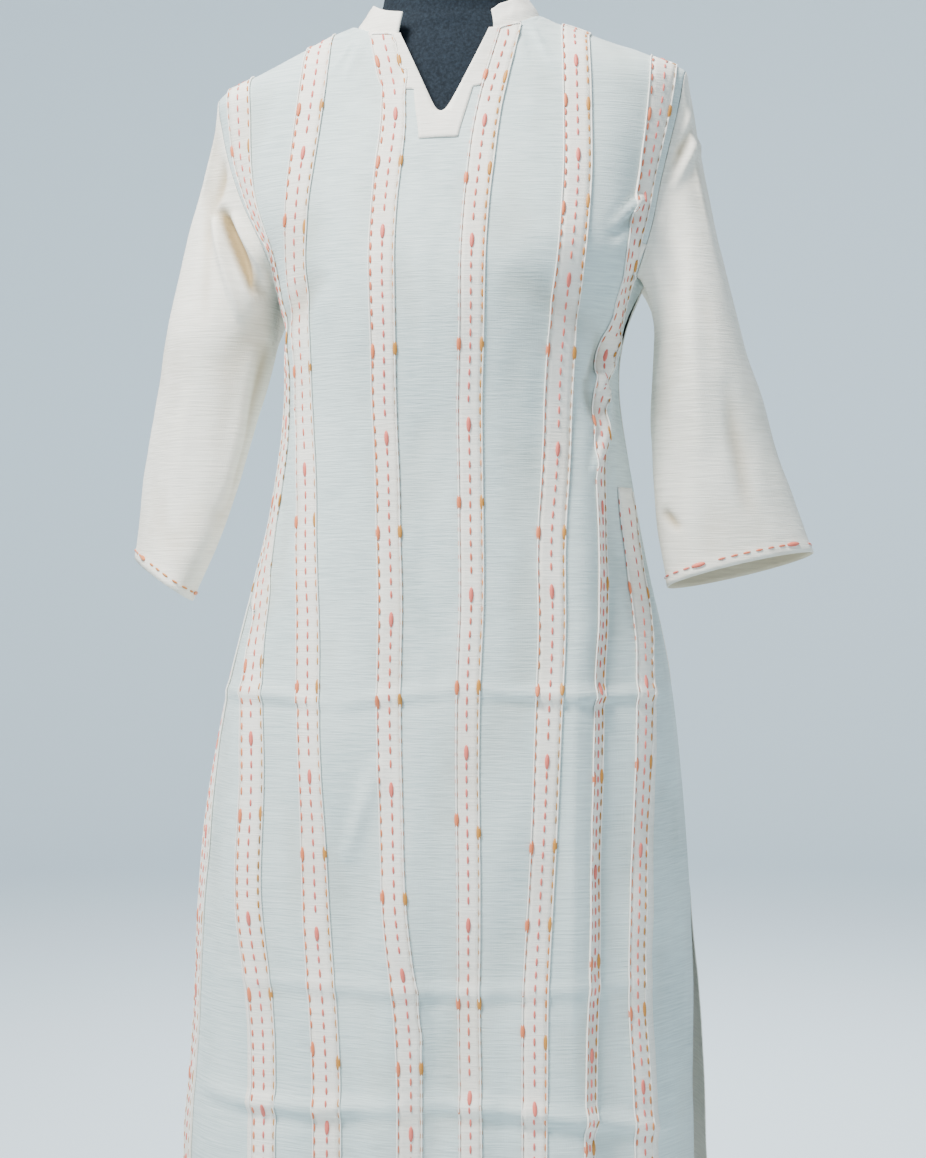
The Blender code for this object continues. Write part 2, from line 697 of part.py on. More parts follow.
def build_facing(front, normals, cells, collection):
    """The band beside the neck's slit, closed below its foot."""
    foot = FRONT_ROWS + SLOT_FOOT_ROW
    chosen = []
    for cell in cells:
        row, column = cell[0]
        beside = row >= foot and column in (-FACING, SLOT)
        below = row == foot - 1 and column in (-FACING, -SLOT, 0, SLOT)
        if beside or below:
            chosen.append(cell)
    lay_on("neck_facing", front, normals, chosen, collection)


def build_collar(front, back, front_normals, back_normals, collection):
    """The standing band on the neck seam, from one side of the slit round to the other."""
    front_top = FRONT_ROWS + CHEST_ROWS
    back_top = BACK_ROWS + CHEST_ROWS
    seam = [(front, front_normals, (front_top, -column)) for column in range(SLOT, GAP_B + 1)]
    for column in range(1 - BACK_NECK, BACK_NECK):
        seam.append((back, back_normals, (back_top, column)))
    seam += [(front, front_normals, (front_top, column)) for column in range(GAP_B, SLOT - 1, -1)]
    points = {}
    last = len(seam) - 1
    for k, (owner, _, key) in enumerate(seam):
        foot = owner[key]
        from_end = min(k, last - k)
        lean = COLLAR_LEAN * eased(from_end, 0, COLLAR_LEAN_COLUMNS)
        for row in range(3):
            share = row / 2
            inward = 1 - lean * share
            rise = COLLAR_GAP + COLLAR_HIGH * share * (COLLAR_END_SHARE if from_end == 0 else 1.0)
            points[row, k] = Vector((foot.x * inward, foot.y * inward, foot.z + rise))
    cells = grid_cells(points, flip=True)
    normals = normals_of(points, cells)
    for k, (owner, owner_normals, key) in enumerate(seam):
        at_neck_point = owner is front and abs(key[1]) == GAP_B
        foot_normal = normals[0, k] if at_neck_point else owner_normals[key]
        normals[0, k] = Vector((foot_normal.x, foot_normal.y, 0.0)).normalized()
    wall("collar_band", points, moved(points, normals, -WALL), cells, "cream cotton", collection)


def form_rings():
    """The dress form's sections from its foot up: height, half width, front and back."""
    rings = []
    crest_z = NECK_Z - FORM_UNDER_CREST
    end_z = crest_z - SHOULDER_FALL * (FORM_SHOULDER_X - NECK_X)
    own = [row.height for row in FORM if row.height < end_z]
    between = [(low + high) / 2 for low, high in zip(own, own[1:]) if low >= FORM_FINE_FROM]
    for z in sorted(own + between):
        rings.append(Form(z, *(read(FORM, column, z) for column in Form._fields[1:])))
    for k in range(CREST_ROWS + 1):
        z = end_z + (crest_z - CREST_TOP_GAP - end_z) * k / CREST_ROWS
        width = NECK_X + (crest_z - z) / SHOULDER_FALL
        rings.append(Form(z, width, read(FORM, "front", z), read(FORM, "back", z)))
    return rings + list(NECK)


def build_form(collection):
    """The smooth, limbless dress form."""
    mesh = bmesh.new()
    rings = []
    power = 2 / FORM_POWER
    for row in form_rings():
        ring = []
        for k in range(FORM_POINTS):
            turn = 2 * pi * k / FORM_POINTS
            depth = row.front if sin(turn) < 0 else row.back
            x = row.half_width * abs(cos(turn)) ** power * (1 if cos(turn) > 0 else -1)
            y = depth * abs(sin(turn)) ** power * (1 if sin(turn) > 0 else -1)
            lift = SHOULDER_TILT * x * eased(row.height, TILT_FROM, TILT_TO)
            ring.append(mesh.verts.new((x, y, row.height + lift)))
        rings.append(ring)
    for low, high in zip(rings, rings[1:]):
        for k in range(FORM_POINTS):
            after = (k + 1) % FORM_POINTS
            mesh.faces.new((low[k], low[after], high[after], high[k]))
    mesh.faces.new(rings[0][::-1])
    mesh.faces.new(rings[-1])
    made = bpy.data.meshes.new("form_torso")
    mesh.to_mesh(made)
    mesh.free()
    keep(made, "form_torso", "navy jersey", collection)


def build_stand(collection):
    """A turned base, and a pole from it to the form."""
    profile = (
        (BASE_RADIUS - BASE_EDGE, BASE_HIGH - BASE_FALL),
        (BASE_RADIUS, BASE_HIGH - BASE_FALL - BASE_EDGE),
        (BASE_RADIUS, 0.0),
        (0.0, 0.0),
    )
    mesh = bmesh.new()
    verts = [mesh.verts.new((0.0, 0.0, BASE_HIGH))]
    verts += [mesh.verts.new((x, 0.0, z)) for x, z in profile]
    for start, end in zip(verts, verts[1:]):
        mesh.edges.new((start, end))
    outline = bpy.data.meshes.new("stand_base")
    mesh.to_mesh(outline)
    mesh.free()
    base = keep(outline, "stand_base", "satin steel", collection)
    turned = base.modifiers.new("Turned", "SCREW")
    turned.axis = "Z"
    turned.steps = BASE_STEPS
    turned.render_steps = BASE_STEPS
    turned.use_merge_vertices = True
    turned.merge_threshold = MERGE
    foot = BASE_HIGH + SEAM_GAP
    top = FORM[0].height - SEAM_GAP
    bpy.ops.mesh.primitive_cylinder_add(
        vertices=POLE_SIDES, radius=POLE_RADIUS, depth=top - foot, location=(0, 0, (top + foot) / 2)
    )
    pole = bpy.context.object
    for owner in list(pole.users_collection):
        owner.objects.unlink(pole)
    collection.objects.link(pole)
    keep(pole, "stand_pole", "satin steel", collection)


def main():
    for old in list(bpy.data.objects):
        bpy.data.objects.remove(old, do_unlink=True)
    collection = bpy.data.collections.new(COLLECTION)
    bpy.context.scene.collection.children.link(collection)
    build_cloth(collection)
    build_form(collection)
    build_stand(collection)


main()
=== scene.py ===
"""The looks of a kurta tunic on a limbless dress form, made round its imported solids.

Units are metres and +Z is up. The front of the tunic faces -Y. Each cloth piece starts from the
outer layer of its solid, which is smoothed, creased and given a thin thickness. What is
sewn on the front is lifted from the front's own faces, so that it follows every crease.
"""

from collections import namedtuple
from math import cos, pi, radians, sin

import bmesh
import bpy
import numpy as np
from mathutils import Matrix, Vector, noise
from mathutils.bvhtree import BVHTree
from mathutils.kdtree import KDTree


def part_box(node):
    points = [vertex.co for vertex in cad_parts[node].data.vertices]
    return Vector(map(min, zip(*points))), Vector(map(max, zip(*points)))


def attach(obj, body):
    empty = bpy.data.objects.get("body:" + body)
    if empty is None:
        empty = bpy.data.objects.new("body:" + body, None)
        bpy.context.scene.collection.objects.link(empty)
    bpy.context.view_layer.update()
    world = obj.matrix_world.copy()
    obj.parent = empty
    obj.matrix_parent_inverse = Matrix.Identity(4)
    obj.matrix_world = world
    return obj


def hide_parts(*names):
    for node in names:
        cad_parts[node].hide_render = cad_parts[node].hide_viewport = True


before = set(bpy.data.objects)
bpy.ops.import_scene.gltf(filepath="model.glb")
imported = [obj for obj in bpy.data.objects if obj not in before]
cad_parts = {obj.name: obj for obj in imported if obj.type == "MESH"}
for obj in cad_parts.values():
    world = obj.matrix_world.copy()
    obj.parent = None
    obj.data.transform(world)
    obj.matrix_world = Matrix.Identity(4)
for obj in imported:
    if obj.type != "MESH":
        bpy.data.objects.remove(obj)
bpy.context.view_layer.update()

# Cloth.
CLOTH = 0.0009
STRIP_CLOTH = 0.0005
STRIP_LIFT = 0.0003
COLLAR_CLOTH = 0.0018
COLLAR_TUCK = 0.003
MERGE = 0.00001
RIM_ANGLE = radians(45)
FRONT_RIM_ANGLE = radians(62)
UNDER_STRIP = 0.004
SEAM_HELD = 0.012

# Creases and swells: how squarely a crease is faced before it shows, how blunt its ends are, how
# much its lean tilts it, and the depth at which a crease takes its full painted shade.
CREASE_FACED = 0.3
CREASE_BLUNT = 0.6
LEAN_GAIN = 1.6
PAINTED_SHADE_FULL_DEPTH = 0.006
LARGE_SWELL = 0.05
LARGE_SWELL_HIGH = 0.0022
SMALL_SWELL = 0.016
SMALL_SWELL_HIGH = 0.0007
STEEP_SHARE = 0.7

# Hems: the front's turned-up foot and the turned-back edges beside its slits.
SLIT_Z = 0.70
HEM_HIGH = 0.026
SLIT_HEM_WIDE = 0.011
HEM_PROUD = 0.0007
HEM_STEP = 0.0016

Cut = namedtuple("Cut", "width length area")

# Running stitch.
STITCH_PITCH = 0.0103
STITCH_LONG = 0.0064
STITCH_WIDE = 0.0020
STITCH_HIGH = 0.0014
LOZENGE_LONG = 0.0125
LOZENGE_WIDE = 0.0042
LOZENGE_HIGH = STITCH_HIGH * 1.4
STITCH_OUT = 0.18
STITCH_SIDES = 6
STITCH_RINGS = 5
ROW_SHARES = (0.10, 0.505, 0.90)
RIDGE_RADIUS = 0.00065
RIDGE_OUT = 0.6

# Unevenness of a row: where its first stitch lies, and how colour, length and pitch vary along it.
FIRST_STITCH = 0.3
FIRST_VARIES = 0.4
DRIFT_RATE = 9
DRIFT_SEED = 3.1
WOBBLE_RATE = 210
TINT_DRIFT = 0.3
TINT_WOBBLE = 0.10
LONG_WOBBLE = 0.22
PITCH_WOBBLE = 0.08

Crease = namedtuple("Crease", "start bend end half_width depth lean")

# Creases of each piece: across and height, as seen from the front, or from behind for the back's.
FRONT_CREASES = (
    Crease((-0.190, 0.865), (-0.130, 0.868), (-0.080, 0.858), 0.006, 0.0024, 1.0),
    Crease((-0.080, 0.858), (-0.030, 0.866), (0.030, 0.872), 0.006, 0.0015, 1.0),
    Crease((0.030, 0.872), (0.110, 0.862), (0.195, 0.868), 0.006, 0.0024, 1.0),
    Crease((-0.200, 0.545), (-0.110, 0.535), (-0.010, 0.548), 0.008, 0.0034, 1.0),
    Crease((-0.010, 0.548), (0.090, 0.552), (0.190, 0.520), 0.008, 0.0034, 1.0),
    Crease((-0.180, 0.640), (0.000, 0.632), (0.180, 0.642), 0.007, 0.0016, 1.0),
    Crease((0.114, 0.940), (0.112, 0.780), (0.112, 0.560), 0.003, 0.0014, 0.0),
    Crease((-0.040, 0.821), (-0.055, 0.780), (-0.068, 0.738), 0.008, 0.0036, 0.6),
    Crease((0.162, 1.266), (0.152, 1.255), (0.1385, 1.234), 0.0035, 0.0046, 1.0),
    Crease((0.158, 1.253), (0.149, 1.244), (0.138, 1.226), 0.004, -0.0040, 0.0),
    Crease((0.1365, 1.160), (0.1385, 1.140), (0.1265, 1.118), 0.003, 0.0050, 0.8),
    Crease((0.126, 1.124), (0.127, 1.110), (0.1345, 1.096), 0.003, 0.0050, 0.8),
    Crease((0.1345, 1.104), (0.130, 1.075), (0.1245, 1.042), 0.003, 0.0042, 0.8),
    Crease((0.130, 1.158), (0.129, 1.138), (0.119, 1.114), 0.004, -0.0040, 0.0),
    Crease((0.119, 1.120), (0.120, 1.104), (0.127, 1.086), 0.004, -0.0040, 0.0),
    Crease((0.152, 1.240), (0.140, 1.190), (0.138, 1.140), 0.007, 0.0040, -0.6),
    Crease((0.150, 1.026), (0.151, 1.008), (0.151, 0.990), 0.003, 0.0014, 0.0),
    Crease((-0.164, 1.150), (-0.120, 1.170), (-0.085, 1.205), 0.012, -0.0026, 0.0),
    Crease((0.128, 1.150), (0.100, 1.176), (0.060, 1.200), 0.012, -0.0020, 0.0),
    Crease((-0.070, 1.404), (-0.079, 1.386), (-0.090, 1.366), 0.0030, 0.0016, 0.6),
    Crease((-0.062, 1.400), (-0.068, 1.384), (-0.074, 1.362), 0.0030, 0.0012, -0.6),
    Crease((0.070, 1.408), (0.080, 1.388), (0.093, 1.362), 0.0030, 0.0014, 0.6),
    Crease((0.063, 1.402), (0.068, 1.386), (0.073, 1.366), 0.0030, 0.0012, -0.6),
)
BACK_CREASES = (
    Crease((-0.185, 0.868), (-0.060, 0.860), (0.070, 0.872), 0.006, 0.0022, 1.0),
    Crease((0.070, 0.872), (0.130, 0.866), (0.190, 0.862), 0.006, 0.0018, 1.0),
    Crease((-0.190, 0.540), (-0.050, 0.548), (0.190, 0.534), 0.008, 0.0030, 1.0),
    Crease((-0.150, 1.245), (-0.090, 1.215), (-0.020, 1.205), 0.010, -0.0024, 0.5),
    Crease((0.155, 1.250), (0.100, 1.222), (0.040, 1.190), 0.010, -0.0026, 0.5),
    Crease((-0.110, 1.075), (-0.040, 1.060), (0.050, 1.068), 0.012, -0.0022, 0.4),
    Crease((0.110, 1.050), (0.060, 1.035), (-0.020, 1.030), 0.010, 0.0018, 0.4),
    Crease((-0.062, 0.820), (-0.050, 0.620), (-0.056, 0.380), 0.010, 0.0024, 0.5),
    Crease((0.080, 0.780), (0.092, 0.600), (0.084, 0.360), 0.010, -0.0024, 0.5),
)
LEFT_SLEEVE_CREASES = (
    Crease((-0.184, 1.3125), (-0.190, 1.290), (-0.197, 1.263), 0.005, -0.0036, 0.0),
    Crease((-0.198, 1.262), (-0.188, 1.222), (-0.172, 1.1725), 0.005, 0.0044, 1.0),
    Crease((-0.181, 1.262), (-0.167, 1.238), (-0.150, 1.209), 0.005, 0.0034, 1.0),
    Crease((-0.194, 1.268), (-0.178, 1.240), (-0.157, 1.192), 0.006, -0.0115, 0.5),
    Crease((-0.148, 1.160), (-0.161, 1.065), (-0.178, 1.005), 0.009, -0.0110, 0.0),
    Crease((-0.2035, 1.2975), (-0.203, 1.230), (-0.200, 1.168), 0.006, -0.0022, 0.4),
    Crease((-0.159, 1.155), (-0.1725, 1.0625), (-0.188, 1.014), 0.006, 0.0030, -0.6),
    Crease((-0.215, 1.120), (-0.224, 1.060), (-0.232, 0.995), 0.008, 0.0020, 0.5),
)
LEFT_SLEEVE_CREASES_BEHIND = (
    Crease((0.188, 1.300), (0.176, 1.240), (0.170, 1.180), 0.007, -0.0026, 0.4),
    Crease((0.205, 1.180), (0.196, 1.120), (0.206, 1.050), 0.008, 0.0024, 0.5),
)
RIGHT_SLEEVE_CREASES = (
    Crease((0.206, 1.362), (0.199, 1.335), (0.188, 1.309), 0.005, 0.0026, 0.8),
    Crease((0.2105, 1.335), (0.198, 1.304), (0.182, 1.273), 0.005, 0.0030, 0.8),
    Crease((0.206, 1.346), (0.198, 1.320), (0.184, 1.290), 0.004, -0.0026, 0.0),
    Crease((0.1745, 1.016), (0.180, 1.008), (0.190, 0.999), 0.004, -0.0034, 0.6),
    Crease((0.196, 1.230), (0.200, 1.140), (0.208, 1.060), 0.008, 0.0020, 0.5),
    Crease((0.224, 1.120), (0.234, 1.060), (0.245, 1.010), 0.007, -0.0020, 0.5),
)
RIGHT_SLEEVE_CREASES_BEHIND = (
    Crease((-0.196, 1.300), (-0.186, 1.240), (-0.182, 1.190), 0.007, -0.0026, 0.4),
    Crease((-0.214, 1.160), (-0.222, 1.090), (-0.236, 1.020), 0.008, 0.0024, 0.5),
)
COLLAR_CREASES = (
    Crease((-0.062, 1.425), (-0.061, 1.415), (-0.061, 1.405), 0.0022, 0.0007, 0.0),
    Crease((-0.050, 1.425), (-0.050, 1.415), (-0.049, 1.405), 0.0022, 0.0006, 0.4),
    Crease((0.058, 1.428), (0.058, 1.418), (0.057, 1.408), 0.0022, 0.0007, 0.0),
)


def eased(value, start, end):
    """0 before start, 1 after end, and a smooth rise between them, for numbers and arrays."""
    share = np.clip((value - start) / (end - start), 0.0, 1.0)
    return share * share * (3 - 2 * share)


# Meshes: from a solid's loose triangles to a smooth layer of quads.

def face_islands(skin):
    """The faces of a bmesh in groups that touch along edges."""
    left = set(skin.faces)
    islands = []
    while left:
        island = {left.pop()}
        front_line = list(island)
        while front_line:
            face = front_line.pop()
            for edge in face.edges:
                for other in edge.link_faces:
                    if other in left:
                        left.remove(other)
                        island.add(other)
                        front_line.append(other)
        islands.append(island)
    return islands


def outer_layer(node, middle, rim_angle=RIM_ANGLE):
    """The outer layer of a cloth solid as quads, without its rims and its inner layer."""
    skin = bmesh.new()
    skin.from_mesh(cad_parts[node].data)
    bmesh.ops.remove_doubles(skin, verts=skin.verts, dist=MERGE)
    rims = [edge for edge in skin.edges if edge.calc_face_angle(0.0) > rim_angle]
    bmesh.ops.split_edges(skin, edges=rims)

    def faces_out(island):
        return sum(f.calc_area() * f.normal.dot(f.calc_center_median() - middle) for f in island)

    outer = max(face_islands(skin), key=faces_out)
    rest = [face for face in skin.faces if face not in outer]
    bmesh.ops.delete(skin, geom=rest, context="FACES")
    bmesh.ops.remove_doubles(skin, verts=skin.verts, dist=MERGE)
    quads(skin)
    return skin


def quads(skin):
    """Join the triangles of a bmesh to the quads that they came from."""
    bmesh.ops.join_triangles(
        skin, faces=skin.faces, angle_face_threshold=pi, angle_shape_threshold=pi
    )


def axis_point(node):
    """The point of the body's axis at half a node's height."""
    low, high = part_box(node)
    return Vector((0.0, 0.0, (low.z + high.z) / 2))


def placed(skin, name):
    """A bmesh made an object with smooth shading. The bmesh is freed."""
    mesh = bpy.data.meshes.new(name)
    skin.to_mesh(mesh)
    skin.free()
    mesh.shade_smooth()
    made = bpy.data.objects.new(name, mesh)
    bpy.context.scene.collection.objects.link(made)
    return made


def smoothed(skin, name, levels):
    """A bmesh made an object with a finer, smooth mesh."""
    made = placed(skin, name)
    finer = made.modifiers.new("Finer", "SUBSURF")
    finer.levels = levels
    finer.render_levels = levels
    finer.boundary_smooth = "PRESERVE_CORNERS"
    bake(made)
    return made


def bake(made):
    """Make an object's modifiers part of its mesh."""
    bpy.context.view_layer.update()
    ready = made.evaluated_get(bpy.context.evaluated_depsgraph_get())
    mesh = bpy.data.meshes.new_from_object(ready)
    made.modifiers.clear()
    made.data = mesh
    mesh.name = made.name
    mesh.shade_smooth()


def split_rows(made):
    """Cut each face in two across its height, so that the rows lie as close as the columns."""
    skin = bmesh.new()
    skin.from_mesh(made.data)
    steep = []
    for edge in skin.edges:
        low, high = (vert.co.z for vert in edge.verts)
        if abs(low - high) > STEEP_SHARE * edge.calc_length():
            steep.append(edge)
    bmesh.ops.subdivide_edges(skin, edges=steep, cuts=1, use_grid_fill=True)
    skin.to_mesh(made.data)
    skin.free()
    made.data.shade_smooth()


def points_of(mesh):
    """A mesh's points and their normals as two arrays."""
    points = np.empty(len(mesh.vertices) * 3)
    mesh.vertices.foreach_get("co", points)
    normals = np.empty(len(mesh.vertices) * 3)
    mesh.vertex_normals.foreach_get("vector", normals)
    return points.reshape(-1, 3), normals.reshape(-1, 3)


def set_points(mesh, points):
    """Move a mesh's points to the places of an array."""
    mesh.vertices.foreach_set("co", points.ravel())
    mesh.update()


# Creases.

def along_and_off(points, crease, view_side):
    """How far along a crease each point lies, from 0 to 1, and how far off it, to either side."""
    shares = np.linspace(0, 1, 13)[:, None]
    start, bend, end = (np.array(p) for p in (crease.start, crease.bend, crease.end))
    line = start * (1 - shares) ** 2 + bend * 2 * shares * (1 - shares) + end * shares ** 2
    seen = np.stack((points[:, 0] * view_side, points[:, 2]), axis=1)
    best = np.full(len(points), 9.0)
    along = np.zeros(len(points))
    off = np.zeros(len(points))
    for k, (a, b) in enumerate(zip(line, line[1:])):
        step = b - a
        share = np.clip((seen - a) @ step / (step @ step), 0, 1)
        apart = seen - a - share[:, None] * step
        distance = np.hypot(apart[:, 0], apart[:, 1])
        nearer = distance < best
        side = np.sign(step[0] * apart[:, 1] - step[1] * apart[:, 0])
        best = np.where(nearer, distance, best)
        off = np.where(nearer, distance * side, off)
        along = np.where(nearer, (k + share) / (len(line) - 1), along)
    return along, off


def creased(points, normals, creases, facing):
    """How far creases move the points outwards. They are seen from the front (-1) or back (1)."""
    moved = np.zeros(len(points))
    shows = eased(normals[:, 1] * facing, 0.0, CREASE_FACED)
    for crease in creases:
        along, off = along_and_off(points, crease, -facing)
        share = off / crease.half_width
        ends = np.sin(pi * np.clip(along, 0.0, 1.0)) ** CREASE_BLUNT
        moved += crease.depth * ends * np.exp(-share ** 2) * (1 + LEAN_GAIN * crease.lean * share)
    return moved * shows


def rumpled(points, size, depth, seed):
    """Small uneven swells all over a piece, longer up the cloth than across it."""
    stretch = Vector((1 / size, 1 / size, 0.5 / size))
    shift = Vector((seed, 0.37 * seed, 0.11 * seed))
    return np.array([depth * noise.noise(Vector(p) * stretch + shift) for p in points])


def open_edges(made):
    """The points on a layer's open edges."""
    skin = bmesh.new()
    skin.from_mesh(made.data)
    found = [vert.co.copy() for vert in skin.verts if vert.is_boundary]
    skin.free()
    return found


def nearest_of(places):
    """A search tree of places."""
    nearest = KDTree(len(places))
    for k, place in enumerate(places):
        nearest.insert(place, k)
    nearest.balance()
    return nearest


def main_creases(made, front_creases, back_creases, seed, free_below):
    """Move a piece's points by its creases and small swells, and note how deep they sink, for the
    painted shade of its finish.

    The edges above a height are seams, which stay where the neighbours meet them.
    """
    points, normals = points_of(made.data)
    moved = creased(points, normals, front_creases, -1) + creased(points, normals, back_creases, 1)
    large = rumpled(points, LARGE_SWELL, LARGE_SWELL_HIGH, seed)
    moved += large + rumpled(points, SMALL_SWELL, SMALL_SWELL_HIGH, seed + 5)
    seams = nearest_of([point for point in open_edges(made) if point.z > free_below])
    away = np.array([seams.find(point)[2] for point in points])
    moved *= eased(away, 0.0, SEAM_HELD)
    set_points(made.data, points + normals * moved[:, None])
    # Painted shade: the deeper the creases sink the cloth, the darker its finish is painted there.
    painted_shade = made.data.attributes.new("painted_shade", "FLOAT", "POINT")
    painted_shade.data.foreach_set("value", np.clip(-moved / PAINTED_SHADE_FULL_DEPTH, 0, 1).astype(np.float32))


def hemmed(made, below, hem_high, side_wide=0.0):
    """Make a layer's turned-up foot, and its turned-back edges below a height, a little proud."""
    edges = [point for point in open_edges(made) if point.z < below]
    foot = min(point.z for point in edges)
    widths = [hem_high if point.z < foot + hem_high or not side_wide else side_wide for point in edges]
    nearest = nearest_of(edges)
    points, normals = points_of(made.data)
    proud = np.zeros(len(points))
    for k, point in enumerate(points):
        if point[2] < below + hem_high:
            _, edge, away = nearest.find(point)
            proud[k] = HEM_PROUD * eased(away, widths[edge] + HEM_STEP, widths[edge])
    set_points(made.data, points + normals * proud[:, None])


# Maps on the cloth, in metres.

def map_cloth(made, top, foot, radius):
    """A UV map in metres: across goes round the line from top to foot, and up is the height."""
    mesh = made.data
    points, _ = points_of(mesh)
    share = np.clip((points[:, 2] - foot.z) / (top.z - foot.z), 0, 1)[:, None]
    middle = np.array(foot) + share * (np.array(top) - np.array(foot))
    turn = np.arctan2(points[:, 0] - middle[:, 0], middle[:, 1] - points[:, 1])
    corners = np.empty(len(mesh.loops), np.int32)
    mesh.loops.foreach_get("vertex_index", corners)
    starts = np.empty(len(mesh.polygons), np.int32)
    mesh.polygons.foreach_get("loop_start", starts)
    turns = turn[corners]
    low = np.minimum.reduceat(turns, starts)
    high = np.maximum.reduceat(turns, starts)
    sizes = np.diff(np.append(starts, len(corners)))
    wraps = np.repeat(high - low > pi, sizes)
    turns = np.where(wraps & (turns < 0), turns + 2 * pi, turns)
    layer = mesh.uv_layers.get("cloth") or mesh.uv_layers.new(name="cloth")
    flat = np.stack((turns * radius, points[corners, 2]), axis=1)
    layer.data.foreach_set("uv", flat.astype(np.float32).ravel())


# Finishes.

SLUB_LIGHTER = 1.17
SLUB_SHARE = 0.85


def add(tree, kind, inputs=(), **settings):
    """A shader node with its settings and plain input values."""
    made = tree.nodes.new(kind)
    for name, value in settings.items():
        setattr(made, name, value)
    for name, value in dict(inputs).items():
        made.inputs[name].default_value = value
    return made


def join(tree, start, start_socket, end, end_socket):
    """Link two shader nodes."""
    tree.links.new(start.outputs[start_socket], end.inputs[end_socket])


def grain(tree, inputs):
    """A noise fixed to the piece."""
    place = add(tree, "ShaderNodeTexCoord")
    made = add(tree, "ShaderNodeTexNoise", inputs)
    join(tree, place, "Object", made, "Vector")
    return made


def bumped(tree, shader, source, socket, strength, distance):
    """Let a node's value be the height of a shader's bump."""
    bump = add(tree, "ShaderNodeBump", {"Strength": strength, "Distance": distance})
    join(tree, source, socket, bump, "Height")
    join(tree, bump, "Normal", shader, "Normal")


def woven(group, source, scale, inputs):
    """A noise on the cloth's map, with so many cells in a metre across and up."""
    mapping = add(group, "ShaderNodeMapping", {"Scale": (*scale, 1.0)})
    join(group, source, "Map", mapping, "Vector")
    made = add(group, "ShaderNodeTexNoise", {"Scale": 1.0, **inputs})
    join(group, mapping, "Vector", made, "Vector")
    return made


def handloom_group():
    """The hand-woven cloth that every cotton piece is made of."""
    group = bpy.data.node_groups.new("handloom", "ShaderNodeTree")
    group.interface.new_socket("Map", in_out="INPUT", socket_type="NodeSocketVector")
    group.interface.new_socket("Threads", in_out="OUTPUT", socket_type="NodeSocketFloat")
    group.interface.new_socket("Slub", in_out="OUTPUT", socket_type="NodeSocketFloat")
    group.interface.new_socket("Mottle", in_out="OUTPUT", socket_type="NodeSocketFloat")
    source = group.nodes.new("NodeGroupInput")
    result = group.nodes.new("NodeGroupOutput")
    weft = woven(group, source, (60, 1500), {"Detail": 2.0})
    warp = woven(group, source, (1500, 60), {"Detail": 2.0})
    threads = add(group, "ShaderNodeMath", operation="ADD")
    join(group, weft, "Fac", threads, 0)
    join(group, warp, "Fac", threads, 1)
    halved = add(group, "ShaderNodeMath", {1: 0.5}, operation="MULTIPLY")
    join(group, threads, "Value", halved, 0)
    join(group, halved, "Value", result, "Threads")
    slub = woven(group, source, (30, 620), {"Detail": 3.0, "Roughness": 0.6})
    mottle = woven(group, source, (14, 9), {"Detail": 4.0})
    for source_noise, name in ((slub, "Slub"), (mottle, "Mottle")):
        spread = add(group, "ShaderNodeMapRange", {"From Min": 0.3, "From Max": 0.7})
        join(group, source_noise, "Fac", spread, "Value")
        join(group, spread, "Result", result, name)
    return group


def new_finish(name, roughness, metallic=0.0):
    """A new material and its shader."""
    made = bpy.data.materials.new(name)
    made.use_nodes = True
    shader = made.node_tree.nodes["Principled BSDF"]
    shader.inputs["Roughness"].default_value = roughness
    shader.inputs["Metallic"].default_value = metallic
    return made, shader


# Sockets of a colour mix node.
MIX_SHARE = 0
MIX_FIRST = 6
MIX_SECOND = 7
MIX_RESULT = 2


def mixed(tree, share):
    """A colour mix node, its share either a plain number or left for a link."""
    made = add(tree, "ShaderNodeMix", data_type="RGBA")
    made.inputs[MIX_SHARE].default_value = share
    return made


def cotton(name, light, dark, painted_shade_colour, weave):
    """Hand-woven cotton: mottled, with slubs across and a painted warm shade where creases sink it."""
    made, shader = new_finish(name, 0.86)
    tree = made.node_tree
    shader.inputs["Sheen Weight"].default_value = 0.12
    shader.inputs["Sheen Roughness"].default_value = 0.6
    shader.inputs["Specular IOR Level"].default_value = 0.25
    uv = add(tree, "ShaderNodeUVMap", uv_map="cloth")
    loom = add(tree, "ShaderNodeGroup", node_tree=weave)
    join(tree, uv, "UV", loom, "Map")
    base = mixed(tree, 0.5)
    base.inputs[MIX_FIRST].default_value = (*dark, 1.0)
    base.inputs[MIX_SECOND].default_value = (*light, 1.0)
    join(tree, loom, "Mottle", base, MIX_SHARE)
    streak = mixed(tree, 0.5)
    streak.inputs[MIX_SECOND].default_value = (*(c * SLUB_LIGHTER for c in light), 1.0)
    faint = add(tree, "ShaderNodeMath", {1: SLUB_SHARE}, operation="MULTIPLY")
    join(tree, loom, "Slub", faint, 0)
    join(tree, faint, "Value", streak, MIX_SHARE)
    join(tree, base, MIX_RESULT, streak, MIX_FIRST)
    # Painted shade: the colour goes towards the darker, warmer shade colour where the creases sink the
    # cloth.
    shade = mixed(tree, 0.0)
    shade.inputs[MIX_SECOND].default_value = (*painted_shade_colour, 1.0)
    painted_shade = add(tree, "ShaderNodeAttribute", attribute_name="painted_shade")
    join(tree, painted_shade, "Fac", shade, MIX_SHARE)
    join(tree, streak, MIX_RESULT, shade, MIX_FIRST)
    join(tree, shade, MIX_RESULT, shader, "Base Color")
    rise = add(tree, "ShaderNodeMath", {1: 0.6}, operation="MULTIPLY")
    join(tree, loom, "Slub", rise, 0)
    height = add(tree, "ShaderNodeMath", operation="ADD")
    join(tree, rise, "Value", height, 0)
    join(tree, loom, "Threads", height, 1)
    bumped(tree, shader, height, "Value", 0.6, 0.0006)
    return made


